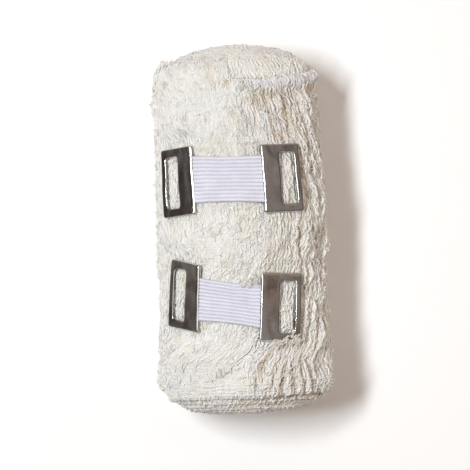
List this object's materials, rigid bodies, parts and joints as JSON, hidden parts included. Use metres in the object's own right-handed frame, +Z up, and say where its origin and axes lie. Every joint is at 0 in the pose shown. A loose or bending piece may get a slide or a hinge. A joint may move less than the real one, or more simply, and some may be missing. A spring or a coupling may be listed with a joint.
{
  "type": "crepe bandage roll",
  "caption": "Cotton crepe bandage wound into a soft roll on its side, its frayed end held by elastic clips with slotted bright metal plates.",
  "frame": {"origin": "centre of the flat spot that the roll rests on, under the middle of the roll", "axes": "+Y along the roll's axis towards the clip with the level band, +Z up from the surface it lies on"},
  "size_m": [0.0508, 0.1076, 0.0485],
  "materials": {
    "crepe": "crinkled loose cotton crepe, undyed cream-white",
    "plate": "bright plated sheet metal",
    "band": "ribbed woven elastic, cool white"
  },
  "bodies": {
    "root": {"crepe_roll": "crepe", "upper_left_plate": "plate", "upper_right_plate": "plate", "lower_left_plate": "plate", "lower_right_plate": "plate", "upper_elastic": "band", "lower_elastic": "band"}
  },
  "joints": []
}
